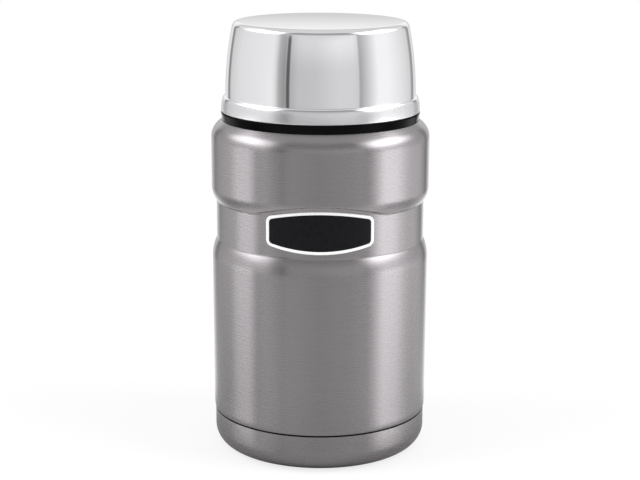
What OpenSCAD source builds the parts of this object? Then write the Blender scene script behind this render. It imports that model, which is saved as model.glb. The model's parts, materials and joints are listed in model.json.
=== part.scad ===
// Insulated food jar: a double-walled steel jar, a stopper that screws into its neck,
// and a polished bowl that screws over the stopper. Millimetres, +Z up.
// The origin is the centre of the foot, and the badge faces -Y.

/* [Base cap] */
// Height of the base cap, up to the seam
base_cap_h = 17.1; // [14:0.1:24]
// How far the base cap stands in from the foot of the body wall
base_cap_inset = 0.45; // [0.2:0.05:1.2]
// Rounding from the foot up into the side of the base cap
base_cap_round = 9; // [6:0.5:12]
// Width of the flat ring that the jar stands on
foot_ring_w = 5; // [3:0.5:8]
// Height that the middle of the foot is pressed up
foot_recess = 1.2; // [0.6:0.1:2.5]
// Open line between the base cap and the body
seam_gap = 0.4; // [0.2:0.1:0.8]

/* [Body] */
// Radius at the foot of the lower wall
body_low_r = 49.55; // [48:0.05:55]
// Widening of the lower wall from foot to top
body_taper = 0.3; // [0:0.05:1]
// Height of the lower wall
lower_wall_h = 73; // [50:0.5:110]
// Rounding at the foot of the lower wall, above the seam
foot_roll = 18; // [12:0.5:30]
// Height of that rounding
foot_roll_h = 3.5; // [2:0.1:5]
// Rounding from the lower wall in to the waist
low_shoulder_round = 19; // [14:0.5:24]
// Depth of the waist below the lower wall
waist_depth = 2.05; // [1.2:0.05:3]
// Height of the waist
waist_h = 18.2; // [16:0.1:26]
// How far the bulge stands out past the waist
bulge_out = 2.2; // [1.4:0.05:3]
// Rounding at the lower edge of the bulge
bulge_low_round = 10.5; // [8:0.5:14]
// Height of the straight side of the bulge
bulge_wall_h = 22.3; // [14:0.1:40]
// Rounding from the bulge in to the neck collar
bulge_high_round = 8.3; // [7:0.1:10]

/* [Double wall] */
// Steel thickness of the outer shell
shell_wall = 0.5; // [0.4:0.05:0.8]
// Steel thickness of the inner vessel
vessel_wall = 0.5; // [0.4:0.05:0.8]
// Vacuum space between the waist and the inner vessel
vacuum_gap = 4.3; // [2.5:0.1:6]
// Vacuum space between the two necks
neck_gap = 1; // [0.6:0.1:1.6]
// Vacuum space under the inner vessel
bottom_gap = 3.4; // [2.8:0.1:6]
// Rounding at the bottom of the inner vessel
vessel_round = 10; // [6:0.5:14]
// Rounding at the shoulder of the inner vessel
vessel_shoulder_round = 7; // [5:0.5:9]
// How far that shoulder starts below the shoulder of the outer shell
vessel_shoulder_drop = 4; // [3:0.5:8]
// Height of the bottom plate above the foot
bottom_plate_z = 8; // [7:0.1:10]
// Thickness of the bottom plate
bottom_plate_t = 0.6; // [0.5:0.05:1]
// Radius of the pumping dimple in the bottom plate
dimple_r = 6; // [4.5:0.5:8]
// Depth of the pumping dimple
dimple_depth = 1.4; // [1.2:0.1:1.8]
// Radius of the pumping hole
pump_hole_r = 1; // [0.8:0.1:1.5]
// Radius of the bead that seals the pumping hole
bead_r = 3; // [2.5:0.1:4]
// Height of that bead
bead_h = 1.1; // [0.8:0.1:1.4]
// Thickness of the copper foil on the inner vessel
foil_t = 0.15; // [0.1:0.05:0.4]
// Bare height of the inner vessel above and below the foil
foil_margin = 6; // [3:0.5:12]
// Width of the ring that bonds the base cap to the bottom plate
bond_w = 3; // [2:0.5:4]
// How far that ring stands in from the edge of the bottom plate
bond_inset = 0.4; // [0.3:0.1:1.5]

/* [Getter] */
// Radius of the getter pill
getter_r = 4.5; // [3:0.5:6]
// Thickness of the getter pill
getter_t = 1.6; // [1:0.1:2]
// Distance of the getter from the axis
getter_at = 20; // [15:0.5:24]
// Width of the strap that holds the getter
clip_w = 4; // [2.5:0.5:5]
// Thickness of that strap
clip_t = 0.4; // [0.3:0.05:0.6]
// Length of each welded foot of that strap
clip_foot = 3; // [2:0.5:4]

/* [Neck] */
// Radius of the mouth inside the steel neck
mouth_r = 37.8; // [36:0.1:38.5]
// Height of the neck above the jar's shoulder
neck_h = 11.8; // [11:0.1:16]
// Height of the rolled rim on top of the neck
rim_h = 0.6; // [0.5:0.05:1.2]
// How far the rolled rim reaches out over the neck
rim_over = 0.5; // [0.3:0.05:0.7]
// Wall of the plastic neck collar
collar_wall = 1.5; // [1.2:0.1:2]
// Height of the ring of the collar that shows
collar_ring_h = 3.5; // [2.5:0.1:5]
// How far that ring narrows towards its foot
collar_ring_slope = 0.5; // [0:0.1:1.2]
// How far that ring stands out past the lip of the bowl
collar_ring_out = 0.15; // [0:0.05:0.5]
// Thickness of the seal under the collar
collar_seal_h = 0.3; // [0.2:0.1:0.8]
// How far that seal stands in from the edge of the collar
collar_seal_inset = 0.6; // [0.4:0.1:1.5]

/* [Threads] */
// Rise of both threads in one turn
thread_lead = 12; // [9:0.5:15]
// Number of thread starts
thread_starts = 3; // [2:1:3]
// Height of a thread ridge above its wall
thread_depth = 0.9; // [0.7:0.05:1.1]
// Width of a thread ridge at its wall
ridge_root_w = 2; // [1.6:0.1:2.2]
// Width of a thread ridge at its crest
ridge_crest_w = 1; // [0.8:0.1:1.2]
// Turn, in degrees, that one ridge covers
ridge_sweep = 88; // [60:1:90]
// Bare wall between a thread and the edge next to it
thread_margin = 1; // [0.6:0.1:2]

/* [Badge] */
// Half the width of the badge, straight across
badge_half_w = 23.7; // [16:0.1:26]
// Height of the badge in the middle
badge_h = 19.2; // [12:0.1:19.6]
// Radius of the arched upper and lower edges of the badge
badge_arch_r = 86; // [70:1:140]
// Rounding of the badge's corners
badge_corner = 3; // [1.5:0.1:4]
// Width of the badge's pale border
badge_border_w = 1.3; // [0.8:0.1:2]
// Height of the border above the waist
badge_border_t = 0.7; // [0.4:0.05:1]
// Depth of the dark field below the border
badge_field_drop = 0.2; // [0.1:0.05:0.3]
// Height of the badge above the foot of the waist
badge_rise = 2.2; // [0.8:0.05:3]
// Bare margin between the badge and the arched notch over it
notch_margin = 1.6; // [1:0.1:2.5]

/* [Stopper] */
// Depth of the plug below the rim of the neck
plug_depth = 16; // [14:0.5:26]
// Wall of the plug
plug_wall = 1.6; // [1.2:0.1:2.4]
// Rounding at the bottom of the plug
plug_round = 3; // [2:0.5:5]
// Thickness of the stopper's gasket
gasket_h = 1.2; // [0.8:0.1:2]
// Thickness of the stopper's flange
stopper_flange_h = 2.2; // [1.5:0.1:3.5]
// Depth that the stopper's cap plugs into the plug
cap_skirt_h = 4; // [2:0.5:6]
// Radius of the stopper's grip
grip_r = 36.5; // [30:0.5:37.5]
// Wall of the stopper's cap
cap_wall = 2; // [1.5:0.1:3]
// Rounding at the top of the grip
grip_round = 2.5; // [1:0.1:3.5]
// Number of finger flutes round the grip
flutes = 16; // [8:1:24]
// Radius of a finger flute
flute_r = 5; // [3:0.5:6]
// Depth of a finger flute
flute_depth = 1.2; // [0.6:0.1:1.4]
// Plain foot of the grip below the flutes
flute_foot = 1; // [0.5:0.1:3]
// Free height in the bowl above the stopper
bowl_headroom = 12; // [8:0.5:15]

/* [Vent] */
// Radius of the vent button
button_r = 7.5; // [6:0.5:10]
// Height of the vent button above the stopper
button_proud = 0.6; // [0:0.1:1.5]
// Rounding at the edge of the vent button
button_round = 1.2; // [0.6:0.1:1.8]
// Depth of the well that the vent button sits in
well_depth = 5; // [4:0.5:7]
// Play round the vent button in its well
button_play = 0.5; // [0.3:0.1:1]
// Radius of the vent seal
vent_seal_r = 5.5; // [4.5:0.5:5.9]
// Thickness of the vent seal
vent_seal_h = 1.2; // [0.8:0.1:1.8]
// Radius of the steam vent through the stopper
vent_bore_r = 2.8; // [2.2:0.1:3.4]
// Wall of the steam vent's tube
vent_tube_wall = 1.4; // [1:0.1:2]
// Play of the vent seal's stem in the steam vent
stem_play = 0.5; // [0.4:0.1:0.8]
// Length of that stem
stem_l = 8; // [5:0.5:10]

/* [Bowl] */
// Height of the bowl, lip to top
bowl_h = 40.8; // [36:0.1:60]
// Steel thickness of the bowl and of its liner
bowl_wall = 0.5; // [0.4:0.05:0.8]
// Radius of the long curve of the bowl's side
bowl_side_round = 158; // [120:1:240]
// Rounding at the edge of the bowl's flat top
bowl_top_round = 3.8; // [2.5:0.1:5]
// Height of the band round the bowl's lip, up to the round of its ledge
bowl_band_h = 5.7; // [5.5:0.1:6]
// How far the band flares out at the lip
bowl_band_flare = 0.7; // [0.3:0.05:1.2]
// Rounding of the ledge on top of the band
bowl_ledge_round = 1.3; // [1:0.05:1.4]
// Depth that the lip hangs below the thread ring
lip_drop = 0.3; // [0.2:0.05:0.5]
// Height of the folded hem inside the lip
hem_h = 1; // [0.6:0.1:1.5]
// Thickness of the soft seal under the bowl
bowl_seal_h = 0.8; // [0.7:0.1:1.4]
// Width of that seal
bowl_seal_w = 1.1; // [0.8:0.1:1.3]
// Air space between the bowl and its liner
liner_gap = 1.3; // [0.9:0.05:1.4]
// Air space between the bowl's top and its liner
liner_top_gap = 1.3; // [1:0.1:3]
// Rounding inside the liner
liner_round = 9; // [6:0.5:12]
// Wall of the thread ring in the bowl
thread_ring_wall = 1.3; // [1.2:0.05:1.6]
// Wall of the thread ring's upper sleeve
sleeve_wall = 0.75; // [0.6:0.05:1]

/* [Fits] */
// Play between fixed steel pieces that are welded or glued
weld_fit = 0.05; // [0.03:0.01:0.1]
// Play between fixed plastic and steel pieces
press_fit = 0.1; // [0.05:0.01:0.15]
// Play between the two halves of a thread
thread_play = 0.4; // [0.35:0.05:0.5]
// Play between the thread ridges and the web over them in the thread ring
web_play = 0.1; // [0.05:0.05:0.2]
// Play between the thread ring and the band of the bowl
band_fit = 0.15; // [0.1:0.05:0.3]
// Play between the thread ring's sleeve and the neck collar
sleeve_play = 0.6; // [0.4:0.05:0.8]
// Least play between the stopper's grip and the bowl's liner
grip_play = 1.5; // [1:0.1:3]
// Play between the stopper's foam and its case
foam_fit = 0.2; // [0.1:0.05:0.4]
// Play between a gasket and the wall it sits round
gasket_play = 0.3; // [0.3:0.05:0.4]

/* [Hidden] */

round_fn = 128;
arc_steps = 12;
small_arc_steps = 6;
ridge_steps = 32;
// angle at which the outer half of each thread starts
ridge_start_a = 15;
// height that one ridge climbs
thread_rise = thread_lead*ridge_sweep/360;
// overlap that joins a thread ridge to its wall, less than any wall
ridge_bury = 0.4;
// a cut runs this far past the solid that it cuts
past = 1;
// rounding that is left at the corners of the badge's field
least_corner = 0.3;

// ---- Radii, from the axis outwards
body_top_r = body_low_r + body_taper;
base_cap_r = body_low_r - base_cap_inset;
waist_r = body_top_r - waist_depth;
bulge_r = waist_r + bulge_out;
// the shell's lower end clears the side of the base cap, or its rounding where it reaches that
spigot_r = base_cap_r - base_cap_round - weld_fit
    + sqrt(pow(base_cap_round - shell_wall, 2) - pow(max(0, base_cap_round - bottom_plate_z), 2));
vessel_r = waist_r - shell_wall - vacuum_gap;
vessel_neck_r = mouth_r + vessel_wall;
shell_neck_r = vessel_neck_r + neck_gap + shell_wall;
rim_r = shell_neck_r + rim_over;
collar_in_r = shell_neck_r + press_fit;
collar_r = collar_in_r + collar_wall;
ring_in_r = collar_r + thread_depth + thread_play;
// height of the grip's top above the ledge of the bowl
grip_rise = bowl_h - bowl_band_h - bowl_ledge_round - liner_top_gap - 2*bowl_wall - bowl_headroom;
// from the foot of the bowl's side in to the liner's inner face beside the grip's top
liner_lean = bowl_side_round
    - sqrt(pow(bowl_side_round - liner_gap - 2*bowl_wall, 2) - grip_rise*grip_rise);
// the bowl clears both the neck collar and the grip, and its band and threads follow it
bowl_side_r = max(collar_r + sleeve_play + sleeve_wall + press_fit + bowl_wall,
                  grip_r + grip_play + liner_lean);
sleeve_r = bowl_side_r - bowl_wall - press_fit;
sleeve_in_r = sleeve_r - sleeve_wall;
band_top_r = max(ring_in_r + thread_ring_wall + band_fit + bowl_wall, bowl_side_r + bowl_ledge_round);
ring_r = band_top_r - bowl_wall - band_fit;
lip_r = band_top_r + bowl_band_flare;
collar_ring_r = lip_r + collar_ring_out;
collar_foot_r = collar_ring_r - collar_ring_slope;
plug_r = mouth_r - thread_depth - thread_play;
plug_in_r = plug_r - plug_wall;
cap_in_r = min(plug_in_r - press_fit, grip_r - flute_depth) - cap_wall;

// ---- Heights, from the foot upwards
seam_z = base_cap_h + seam_gap;
low_shoulder_z = seam_z + lower_wall_h;
waist_z = low_shoulder_z + rise_on_round(low_shoulder_round, waist_depth);
bulge_z = waist_z + waist_h;
bulge_side_z = bulge_z + rise_on_round(bulge_low_round, bulge_out);
bulge_top_z = bulge_side_z + bulge_wall_h;
shoulder_z = bulge_top_z + rise_on_round(bulge_high_round, bulge_r - collar_foot_r);
neck_top_z = shoulder_z + neck_h;
rim_z = neck_top_z + rim_h;
collar_z = shoulder_z + collar_seal_h;
collar_ring_z = collar_z + collar_ring_h;
ring_z = collar_ring_z + bowl_seal_h;
lip_z = ring_z - lip_drop;
bowl_z = lip_z + bowl_h;
ledge_z = lip_z + bowl_band_h;
ledge_top_z = ledge_z + bowl_ledge_round;
liner_z = rim_z;
liner_top_z = bowl_z - bowl_wall - liner_top_gap;
vessel_z = bottom_plate_z + bottom_plate_t + bottom_gap;
vessel_shoulder_z = bulge_top_z - vessel_shoulder_drop;
plug_z = rim_z - plug_depth;
cap_z = rim_z + gasket_h;
grip_z = ledge_top_z + grip_rise;
// middle of a ridge at its lower end: on the collar and in the neck
collar_thread_z = ring_z + ridge_root_w/2;
neck_thread_z = rim_z - thread_margin - ridge_root_w - thread_rise;
well_z = grip_z - well_depth;
tube_top_z = well_z - cap_wall;

// ---- Outline helpers. All outlines are [r, z] lists.

// Height climbed on a quarter round while its radius closes in by depth
function rise_on_round(round, depth) = sqrt(round*round - pow(round - depth, 2));

// Points on an arc round [r, z], from one angle to the other
function arc(centre, radius, from, to, steps = arc_steps) = [
    for (i = [0:steps])
        let (a = from + (to - from)*i/steps)
        centre + radius*[cos(a), sin(a)]];

function reversed(points) = [for (i = [len(points) - 1:-1:0]) points[i]];

// Outer face of the outer shell, from the bottom plate to the rim, taken in by inset
function shell_face(inset) =
    let (
        roll_c = [body_low_r - foot_roll, seam_z + foot_roll_h],
        low_c = [body_top_r - low_shoulder_round, low_shoulder_z],
        bulge_c = [bulge_r - bulge_low_round, bulge_side_z],
        high_c = [bulge_r - bulge_high_round, bulge_top_z],
        roll_a = asin((foot_roll_h - inset)/(foot_roll - inset)),
        low_a = acos((waist_r - inset - low_c.x)/(low_shoulder_round - inset)),
        bulge_a = acos((waist_r - inset - bulge_c.x)/(bulge_low_round - inset)),
        high_a = asin((shoulder_z - inset - high_c.y)/(bulge_high_round - inset)))
    concat(
        [[spigot_r - inset, bottom_plate_z], [spigot_r - inset, seam_z + inset]],
        arc(roll_c, foot_roll - inset, -roll_a, 0, small_arc_steps),
        arc(low_c, low_shoulder_round - inset, 0, low_a),
        arc(bulge_c, bulge_low_round - inset, -bulge_a, 0),
        arc(high_c, bulge_high_round - inset, 0, high_a),
        [[shell_neck_r - inset, shoulder_z - inset], [shell_neck_r - inset, neck_top_z]]);

// Outer face of the inner vessel, from the axis to the rim, taken in by inset
function vessel_face(inset) =
    let (
        low_c = [vessel_r - vessel_round, vessel_z + vessel_round],
        high_c = [vessel_r - vessel_shoulder_round, vessel_shoulder_z],
        lean = 50,
        high_r = vessel_shoulder_round - inset,
        neck_r = vessel_neck_r - inset,
        slope = (high_c.x + high_r*cos(lean) - neck_r)/sin(lean))
    concat(
        [[0, vessel_z + inset]],
        arc(low_c, vessel_round - inset, -90, 0),
        arc(high_c, high_r, 0, lean),
        [[neck_r, high_c.y + high_r*sin(lean) + slope*cos(lean)]]);

// Side and flat top of the bowl, from height foot_z to the axis, taken in by inset
function bowl_face(inset, foot_z, top_z, top_round) =
    let (
        side_c = [bowl_side_r - bowl_side_round, ledge_top_z],
        side_r = bowl_side_round - inset,
        edge_z = top_z - top_round,
        edge_r = side_c.x + sqrt(pow(side_r - top_round, 2) - pow(edge_z - side_c.y, 2)),
        edge_a = atan2(edge_z - side_c.y, edge_r - side_c.x))
    concat(
        arc(side_c, side_r, asin((foot_z - side_c.y)/side_r), edge_a),
        arc([edge_r, edge_z], top_round, edge_a, 90),
        [[0, top_z]]);

// The badge's outline: straight ends, arched upper and lower edges, rounded corners
function badge_outline(inset) =
    let (
        arch_r = badge_arch_r - inset,
        corner = max(badge_corner - inset, least_corner),
        arch_c = badge_h/2 - badge_arch_r,
        end_x = badge_half_w - inset - corner,
        corner_y = arch_c + sqrt(pow(arch_r - corner, 2) - end_x*end_x),
        corner_a = atan2(corner_y - arch_c, end_x),
        quarter = concat(
            arc([end_x, corner_y], corner, 0, corner_a, small_arc_steps),
            arc([0, arch_c], arch_r, corner_a, 90, small_arc_steps)),
        upper = concat(quarter, [for (p = reversed(quarter)) [-p.x, p.y]]))
    concat(upper, [for (p = reversed(upper)) [p.x, -p.y]]);

// ---- Shape helpers

// A solid of revolution from an outline
module turned(outline) {
    rotate_extrude($fn = round_fn)
        polygon(outline);
}

// A plain ring
module ring(in_r, out_r, foot_z, top_z) {
    turned([[in_r, foot_z], [out_r, foot_z], [out_r, top_z], [in_r, top_z]]);
}

// One thread ridge on a wall of radius wall_r. It follows the helix that passes height
// helix_z at angle 0, from start_z on, and fades in and out at its ends. It points
// outwards, or inwards when inward is true.
module thread_ridge(wall_r, helix_z, start_z, inward) {
    out = inward ? -1 : 1;
    fade = 14;
    first = (start_z - helix_z)*360/thread_lead;
    section = [
        [-ridge_bury, -ridge_root_w/2],
        [thread_depth, -ridge_crest_w/2],
        [thread_depth, ridge_crest_w/2],
        [-ridge_bury, ridge_root_w/2]];
    points = [
        for (i = [0:ridge_steps])
            let (
                along = ridge_sweep*i/ridge_steps,
                a = first + along,
                swell = max(0.04, min(1, along/fade, (ridge_sweep - along)/fade)))
            for (p = section)
                let (
                    up = p.x > 0 ? p.x*swell : p.x,
                    r = wall_r + out*up)
                [r*cos(a), r*sin(a), helix_z + thread_lead*a/360 + p.y]];
    skin = [
        for (i = [0:ridge_steps - 1])
            for (j = [0:3])
                let (
                    p = 4*i + j,
                    q = 4*i + (j + 1)%4)
                each [[p, q + 4, p + 4], [p, q, q + 4]]];
    last = 4*ridge_steps;
    ends = [[0, 2, 1], [0, 3, 2], [last, last + 1, last + 2], [last, last + 2, last + 3]];
    faces = concat(skin, ends);
    polyhedron(points, inward ? [for (f = faces) reversed(f)] : faces);
}

// All starts of one half of a thread pair, whose lower end is at pair_z. The half that
// points inwards runs half a pitch below the other, so that each lies in the other's gaps.
// It starts at pair_z + lift.
module thread(wall_r, pair_z, inward, lift = 0) {
    pitch = thread_lead/thread_starts;
    helix_z = pair_z - thread_lead*ridge_start_a/360 - (inward ? pitch/2 : 0);
    for (k = [0:thread_starts - 1])
        rotate([0, 0, 360*k/thread_starts])
            thread_ridge(wall_r, helix_z, pair_z + lift, inward);
}

// The badge's outline pressed through the front wall, as a block from the axis to -Y
module through_badge(inset) {
    translate([0, 0, waist_z + badge_rise + badge_h/2])
        rotate([90, 0, 0])
            linear_extrude(height = bulge_r + past)
                polygon(badge_outline(inset));
}

// The block that the arched notch over the badge is cut with, grown by grow
module through_notch(grow) {
    arch_r = badge_arch_r + notch_margin + grow;
    centre_z = waist_z + badge_rise + badge_h - badge_arch_r;
    floor_z = waist_z + waist_h/2;
    intersection() {
        translate([0, 0, centre_z])
            rotate([90, 0, 0])
                cylinder(h = bulge_r + past, r = arch_r, $fn = round_fn);
        translate([-bulge_r, -bulge_r - past, floor_z])
            cube([2*bulge_r, bulge_r + past, badge_h]);
    }
}

// ---- Jar

module outer_shell() {
    notch_top_z = waist_z + badge_rise + badge_h + notch_margin + shell_wall + past;
    color([0.62, 0.61, 0.61])
        difference() {
            union() {
                turned(concat(shell_face(0), reversed(shell_face(shell_wall))));
                // the pressed notch keeps the wall's thickness round its edge
                intersection() {
                    through_notch(shell_wall);
                    difference() {
                        turned(concat([[0, bottom_plate_z]], shell_face(0), [[0, neck_top_z]]));
                        translate([0, 0, -past])
                            cylinder(h = bowl_z, r = waist_r - shell_wall, $fn = round_fn);
                    }
                    ring(waist_r - 2*shell_wall, bulge_r + past, bulge_z - past, notch_top_z);
                }
            }
            difference() {
                through_notch(0);
                translate([0, 0, -past])
                    cylinder(h = bowl_z, r = waist_r, $fn = round_fn);
            }
        }
}

module inner_vessel() {
    rim = [
        [vessel_neck_r, neck_top_z],
        [rim_r, neck_top_z],
        [rim_r, rim_z],
        [mouth_r, rim_z]];
    color([0.72, 0.72, 0.71])
        union() {
            turned(concat(vessel_face(0), rim, reversed(vessel_face(vessel_wall))));
            thread(mouth_r, neck_thread_z, true);
        }
}

module shell_bottom() {
    plate_r = spigot_r - shell_wall - weld_fit;
    color([0.6, 0.6, 0.6])
        turned([
            [pump_hole_r, bottom_plate_z + dimple_depth],
            [dimple_r - bottom_plate_t, bottom_plate_z + dimple_depth],
            [dimple_r, bottom_plate_z],
            [plate_r, bottom_plate_z],
            [plate_r, bottom_plate_z + bottom_plate_t],
            [dimple_r + bottom_plate_t/2, bottom_plate_z + bottom_plate_t],
            [dimple_r - bottom_plate_t/2, bottom_plate_z + dimple_depth + bottom_plate_t],
            [pump_hole_r, bottom_plate_z + dimple_depth + bottom_plate_t]]);
}

module seal_bead() {
    top_z = bottom_plate_z + dimple_depth;
    color([0.35, 0.37, 0.4])
        turned(concat(
            [[0, top_z + bottom_plate_t/2],
             [0, top_z - bead_h]],
            [for (i = [1:small_arc_steps])
                let (a = 90*i/small_arc_steps)
                [bead_r*sin(a), top_z - bead_h*cos(a)]],
            [[pump_hole_r - weld_fit, top_z],
             [pump_hole_r - weld_fit, top_z + bottom_plate_t/2]]));
}

module getter() {
    color([0.3, 0.3, 0.32])
        translate([getter_at, 0, vessel_z - getter_t])
            cylinder(h = getter_t, r = getter_r, $fn = round_fn);
}

module getter_clip() {
    leg_x = getter_r + weld_fit;
    foot_x = leg_x + clip_t + clip_foot;
    color([0.66, 0.66, 0.66])
        translate([getter_at, clip_w/2, vessel_z])
            rotate([90, 0, 0])
                linear_extrude(height = clip_w)
                    polygon([
                        [-foot_x, 0],
                        [-foot_x, -clip_t],
                        [-leg_x - clip_t, -clip_t],
                        [-leg_x - clip_t, -getter_t - clip_t],
                        [leg_x + clip_t, -getter_t - clip_t],
                        [leg_x + clip_t, -clip_t],
                        [foot_x, -clip_t],
                        [foot_x, 0],
                        [leg_x, 0],
                        [leg_x, -getter_t],
                        [-leg_x, -getter_t],
                        [-leg_x, 0]]);
}

module radiation_foil() {
    in_r = vessel_r + weld_fit;
    color([0.8, 0.48, 0.3])
        ring(in_r, in_r + foil_t, vessel_z + vessel_round + foil_margin,
             vessel_shoulder_z - foil_margin);
}

// Face of the base cap from the axis to its top edge, taken in by inset
function base_cap_face(inset) =
    let (
        corner_c = [base_cap_r - base_cap_round, base_cap_round],
        foot_r = corner_c.x - foot_ring_w)
    concat(
        [[0, foot_recess + inset], [foot_r - foot_recess, foot_recess + inset],
         [foot_r + inset/2, inset]],
        arc(corner_c, base_cap_round - inset, -90, 0),
        [[base_cap_r - inset, base_cap_h]]);

module base_cap() {
    color([0.6, 0.59, 0.59])
        turned(concat(base_cap_face(0), reversed(base_cap_face(shell_wall))));
}

module bond_ring() {
    round = base_cap_round - shell_wall - weld_fit;
    centre = [base_cap_r - base_cap_round, base_cap_round];
    out_r = spigot_r - shell_wall - bond_inset;
    in_r = out_r - bond_w;
    color([0.2, 0.2, 0.2])
        turned(concat(
            arc(centre, round, -acos((in_r - centre.x)/round), -acos((out_r - centre.x)/round),
                small_arc_steps),
            [[out_r, bottom_plate_z],
             [in_r, bottom_plate_z]]));
}

module neck_collar() {
    color([0.06, 0.06, 0.06])
        union() {
            turned([
                [collar_in_r, collar_z],
                [collar_foot_r, collar_z],
                [collar_ring_r, collar_ring_z],
                [collar_r, collar_ring_z],
                [collar_r, neck_top_z - press_fit],
                [collar_in_r, neck_top_z - press_fit]]);
            thread(collar_r, collar_thread_z, false);
        }
}

module collar_seal() {
    color([0.1, 0.1, 0.1])
        ring(collar_in_r + press_fit, collar_foot_r - collar_seal_inset, shoulder_z, collar_z);
}

// The badge lies on the curved waist
module badge_border() {
    color([0.93, 0.93, 0.93])
        intersection() {
            difference() {
                through_badge(0);
                through_badge(badge_border_w);
            }
            ring(waist_r + weld_fit, waist_r + badge_border_t, waist_z, bulge_z + badge_h);
        }
}

module badge_field() {
    color([0.05, 0.05, 0.05])
        intersection() {
            through_badge(badge_border_w + weld_fit);
            ring(waist_r + weld_fit, waist_r + badge_border_t - badge_field_drop,
                 waist_z, bulge_z + badge_h);
        }
}

// ---- Stopper

module stopper_gasket() {
    color([0.8, 0.8, 0.78])
        ring(plug_r + gasket_play, rim_r - gasket_play, rim_z, cap_z);
}

module stopper_plug() {
    tube_r = vent_bore_r + vent_tube_wall;
    color([0.16, 0.16, 0.17])
        union() {
            turned(concat(
                [[vent_bore_r, plug_z]],
                arc([plug_r - plug_round, plug_z + plug_round], plug_round, -90, 0,
                    small_arc_steps),
                [[plug_r, cap_z],
                 [plug_in_r, cap_z],
                 [plug_in_r, plug_z + plug_wall],
                 [tube_r, plug_z + plug_wall],
                 [tube_r, tube_top_z],
                 [vent_bore_r, tube_top_z]]));
            thread(plug_r, neck_thread_z, false);
        }
}

module stopper_cap() {
    skirt_r = plug_in_r - press_fit;
    flange_z = cap_z + stopper_flange_h;
    well_r = button_r + button_play;
    color([0.13, 0.13, 0.14])
        difference() {
            turned(concat(
                [[cap_in_r, cap_z - cap_skirt_h],
                 [skirt_r, cap_z - cap_skirt_h],
                 [skirt_r, cap_z],
                 [rim_r, cap_z],
                 [rim_r, flange_z - stopper_flange_h/3],
                 [rim_r - stopper_flange_h/3, flange_z],
                 [grip_r, flange_z]],
                arc([grip_r - grip_round, grip_z - grip_round], grip_round, 0, 90,
                    small_arc_steps),
                [[well_r, grip_z],
                 [well_r, well_z],
                 [vent_bore_r, well_z],
                 [vent_bore_r, tube_top_z],
                 [well_r + cap_wall, tube_top_z],
                 [well_r + cap_wall, grip_z - cap_wall],
                 [cap_in_r, grip_z - cap_wall]]));
            for (k = [0:flutes - 1])
                rotate([0, 0, 360*(k + 0.5)/flutes])
                    translate([grip_r - flute_depth + flute_r, 0, flange_z + flute_foot])
                        cylinder(h = grip_z, r = flute_r, $fn = 48);
        }
}

module stopper_foam() {
    in_r = vent_bore_r + vent_tube_wall + foam_fit;
    low_r = plug_in_r - foam_fit;
    high_r = cap_in_r - foam_fit;
    well_out_r = button_r + button_play + cap_wall + foam_fit;
    skirt_z = cap_z - cap_skirt_h - foam_fit;
    color([0.9, 0.88, 0.8])
        turned([
            [in_r, plug_z + plug_wall],
            [low_r, plug_z + plug_wall],
            [low_r, skirt_z],
            [high_r, skirt_z],
            [high_r, grip_z - cap_wall - foam_fit],
            [well_out_r, grip_z - cap_wall - foam_fit],
            [well_out_r, tube_top_z - foam_fit],
            [in_r, tube_top_z - foam_fit]]);
}

// ---- Vent

module vent_seal() {
    stem_r = vent_bore_r - stem_play;
    color([0.75, 0.75, 0.74])
        turned([
            [0, well_z - stem_l],
            [stem_r, well_z - stem_l],
            [stem_r, well_z],
            [vent_seal_r, well_z],
            [vent_seal_r, well_z + vent_seal_h],
            [0, well_z + vent_seal_h]]);
}

module vent_button() {
    top_z = grip_z + button_proud;
    color([0.55, 0.56, 0.57])
        turned(concat(
            [[0, well_z + vent_seal_h],
             [button_r, well_z + vent_seal_h]],
            arc([button_r - button_round, top_z - button_round], button_round, 0, 90,
                small_arc_steps),
            [[0, top_z]]));
}

// ---- Bowl

module bowl_seal() {
    out_r = ring_r + press_fit;
    color([0.08, 0.08, 0.08])
        ring(out_r - bowl_seal_w, out_r, collar_ring_z, ring_z);
}

// Outer face of the bowl's band and ledge, from the lip up, taken in by inset
function band_face(inset) = concat(
    [[lip_r - inset, lip_z]],
    arc([band_top_r - bowl_ledge_round, ledge_z], bowl_ledge_round - inset, 0, 90,
        small_arc_steps));

module bowl_shell() {
    hem_in = 2*bowl_wall;
    foot_z = ledge_top_z - bowl_wall;
    outer = bowl_face(0, ledge_top_z, bowl_z, bowl_top_round);
    inner = bowl_face(bowl_wall, foot_z, bowl_z - bowl_wall, bowl_top_round - bowl_wall);
    color([0.88, 0.88, 0.88])
        union() {
            turned(concat(band_face(0), outer, reversed(concat(band_face(bowl_wall), inner))));
            ring(lip_r - hem_in, lip_r - bowl_wall/2, lip_z, lip_z + hem_h);
        }
}

module bowl_liner() {
    inset = bowl_wall + liner_gap;
    foot_z = liner_z + bowl_wall;
    flange_r = bowl_side_r - bowl_wall - press_fit;
    outer = bowl_face(inset, foot_z, liner_top_z, liner_round);
    inner = bowl_face(inset + bowl_wall, liner_z, liner_top_z - bowl_wall,
                      liner_round - bowl_wall);
    color([0.76, 0.76, 0.75])
        turned(concat(
            [[flange_r, liner_z], [flange_r, foot_z]],
            outer,
            reversed(inner)));
}

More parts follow.
